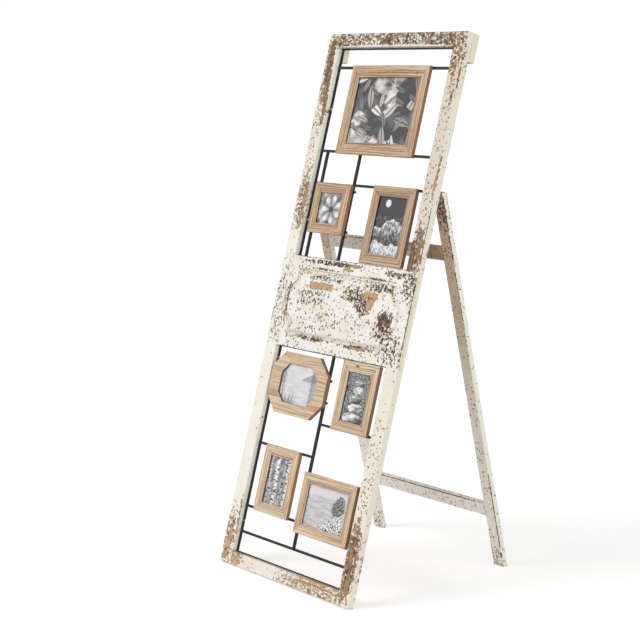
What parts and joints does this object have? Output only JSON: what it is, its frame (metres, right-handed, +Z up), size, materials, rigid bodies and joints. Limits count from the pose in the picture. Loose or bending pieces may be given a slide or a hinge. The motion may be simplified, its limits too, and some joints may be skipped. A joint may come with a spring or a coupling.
{
  "type": "easel collage picture frame",
  "caption": "Leaning floor easel that displays several small photo frames on metal grids inside a painted wooden frame with a routed centre panel and hinged folding legs.",
  "frame": {"origin": "floor level, under the middle of the footprint", "axes": "+X to the right of a person facing the frame, +Y away from them, +Z up; the frame's face looks towards -Y and leans back"},
  "size_m": [0.571, 0.6162, 1.5229],
  "materials": {
    "cream_paint": "ivory chalk paint on softwood, rubbed and chipped back to brown wood",
    "leg_paint": "the same paint, thinner and greyer, with fewer chips",
    "pine": "natural pine moulding with a low wax sheen",
    "hardboard": "plain brown hardboard",
    "print": null,
    "glass": "clear picture glass",
    "black_metal": "black enamelled mild steel strip and rod, slightly worn",
    "hinge_steel": "dull steel butt hinges",
    "plated_steel": "zinc-plated screws and turn buttons"
  },
  "bodies": {
    "frame": {"left_stile": "cream_paint", "right_stile": "cream_paint", "top_rail": "cream_paint", "bottom_rail": "cream_paint", "centre_panel": "cream_paint", "left_spacer_block": "cream_paint", "right_spacer_block": "cream_paint", "upper_grid": "black_metal", "lower_grid": "black_metal", "big_frame_moulding": "pine", "big_frame_glass": "glass", "big_frame_print": "print", "big_frame_backing": "hardboard", "square_frame_moulding": "pine", "square_frame_glass": "glass", "square_frame_print": "print", "square_frame_backing": "hardboard", "portrait_frame_moulding": "pine", "portrait_frame_glass": "glass", "portrait_frame_print": "print", "portrait_frame_backing": "hardboard", "octagon_frame_moulding": "pine", "octagon_frame_glass": "glass", "octagon_frame_print": "print", "octagon_frame_backing": "hardboard", "slim_frame_moulding": "pine", "slim_frame_glass": "glass", "slim_frame_print": "print", "slim_frame_backing": "hardboard", "tall_frame_moulding": "pine", "tall_frame_glass": "glass", "tall_frame_print": "print", "tall_frame_backing": "hardboard", "landscape_frame_moulding": "pine", "landscape_frame_glass": "glass", "landscape_frame_print": "print", "landscape_frame_backing": "hardboard", "hinge_frame_leaves": "hinge_steel", "hinge_pins": "hinge_steel", "frame_screws": "plated_steel"},
    "easel_legs": {"left_leg": "leg_paint", "right_leg": "leg_paint", "upper_leg_rail": "leg_paint", "lower_leg_rail": "leg_paint", "hinge_leg_leaves": "hinge_steel", "leg_screws": "plated_steel"},
    "big_frame_left_button": {"big_frame_left_button": "plated_steel"},
    "big_frame_right_button": {"big_frame_right_button": "plated_steel"},
    "square_frame_left_button": {"square_frame_left_button": "plated_steel"},
    "square_frame_right_button": {"square_frame_right_button": "plated_steel"},
    "portrait_frame_left_button": {"portrait_frame_left_button": "plated_steel"},
    "portrait_frame_right_button": {"portrait_frame_right_button": "plated_steel"},
    "octagon_frame_left_button": {"octagon_frame_left_button": "plated_steel"},
    "octagon_frame_right_button": {"octagon_frame_right_button": "plated_steel"},
    "slim_frame_left_button": {"slim_frame_left_button": "plated_steel"},
    "slim_frame_right_button": {"slim_frame_right_button": "plated_steel"},
    "tall_frame_left_button": {"tall_frame_left_button": "plated_steel"},
    "tall_frame_right_button": {"tall_frame_right_button": "plated_steel"},
    "landscape_frame_left_button": {"landscape_frame_left_button": "plated_steel"},
    "landscape_frame_right_button": {"landscape_frame_right_button": "plated_steel"}
  },
  "joints": [
    {"name": "legs_fold", "type": "hinge", "parent": "frame", "child": "easel_legs", "pos_m": [0, 0.02239, 1.09672], "axis": [-1, 0, 0], "range_deg": [0, 29]},
    {"name": "big_frame_left_button_turn", "type": "hinge", "parent": "frame", "child": "big_frame_left_button", "pos_m": [-0.13435, 0.06762, 1.30446], "axis": [0, 0.9632, -0.2689], "range_deg": [-90, 90]},
    {"name": "big_frame_right_button_turn", "type": "hinge", "parent": "frame", "child": "big_frame_right_button", "pos_m": [0.14135, 0.06762, 1.30446], "axis": [0, 0.9632, -0.2689], "range_deg": [-90, 90]},
    {"name": "square_frame_left_button_turn", "type": "hinge", "parent": "frame", "child": "square_frame_left_button", "pos_m": [-0.19335, -0.0105, 1.02466], "axis": [0, 0.9632, -0.2689], "range_deg": [-90, 90]},
    {"name": "square_frame_right_button_turn", "type": "hinge", "parent": "frame", "child": "square_frame_right_button", "pos_m": [-0.07465, -0.0105, 1.02466], "axis": [0, 0.9632, -0.2689], "range_deg": [-90, 90]},
    {"name": "portrait_frame_left_button_turn", "type": "hinge", "parent": "frame", "child": "portrait_frame_left_button", "pos_m": [0.05665, -0.01924, 0.99335], "axis": [0, 0.9632, -0.2689], "range_deg": [-90, 90]},
    {"name": "portrait_frame_right_button_turn", "type": "hinge", "parent": "frame", "child": "portrait_frame_right_button", "pos_m": [0.19635, -0.01924, 0.99335], "axis": [0, 0.9632, -0.2689], "range_deg": [-90, 90]},
    {"name": "octagon_frame_left_button_turn", "type": "hinge", "parent": "frame", "child": "octagon_frame_left_button", "pos_m": [-0.19885, -0.14866, 0.52983], "axis": [0, 0.9632, -0.2689], "range_deg": [-90, 90]},
    {"name": "octagon_frame_right_button_turn", "type": "hinge", "parent": "frame", "child": "octagon_frame_right_button", "pos_m": [-0.01815, -0.14866, 0.52983], "axis": [0, 0.9632, -0.2689], "range_deg": [-90, 90]},
    {"name": "slim_frame_left_button_turn", "type": "hinge", "parent": "frame", "child": "slim_frame_left_button", "pos_m": [0.08315, -0.14832, 0.53104], "axis": [0, 0.9632, -0.2689], "range_deg": [-90, 90]},
    {"name": "slim_frame_right_button_turn", "type": "hinge", "parent": "frame", "child": "slim_frame_right_button", "pos_m": [0.19985, -0.14832, 0.53104], "axis": [0, 0.9632, -0.2689], "range_deg": [-90, 90]},
    {"name": "tall_frame_left_button_turn", "type": "hinge", "parent": "frame", "child": "tall_frame_left_button", "pos_m": [-0.16935, -0.22382, 0.26063], "axis": [0, 0.9632, -0.2689], "range_deg": [-90, 90]},
    {"name": "tall_frame_right_button_turn", "type": "hinge", "parent": "frame", "child": "tall_frame_right_button", "pos_m": [-0.05165, -0.22382, 0.26063], "axis": [0, 0.9632, -0.2689], "range_deg": [-90, 90]},
    {"name": "landscape_frame_left_button_turn", "type": "hinge", "parent": "frame", "child": "landscape_frame_left_button", "pos_m": [0.01915, -0.2333, 0.22668], "axis": [0, 0.9632, -0.2689], "range_deg": [-90, 90]},
    {"name": "landscape_frame_right_button_turn", "type": "hinge", "parent": "frame", "child": "landscape_frame_right_button", "pos_m": [0.20985, -0.2333, 0.22668], "axis": [0, 0.9632, -0.2689], "range_deg": [-90, 90]}
  ]
}
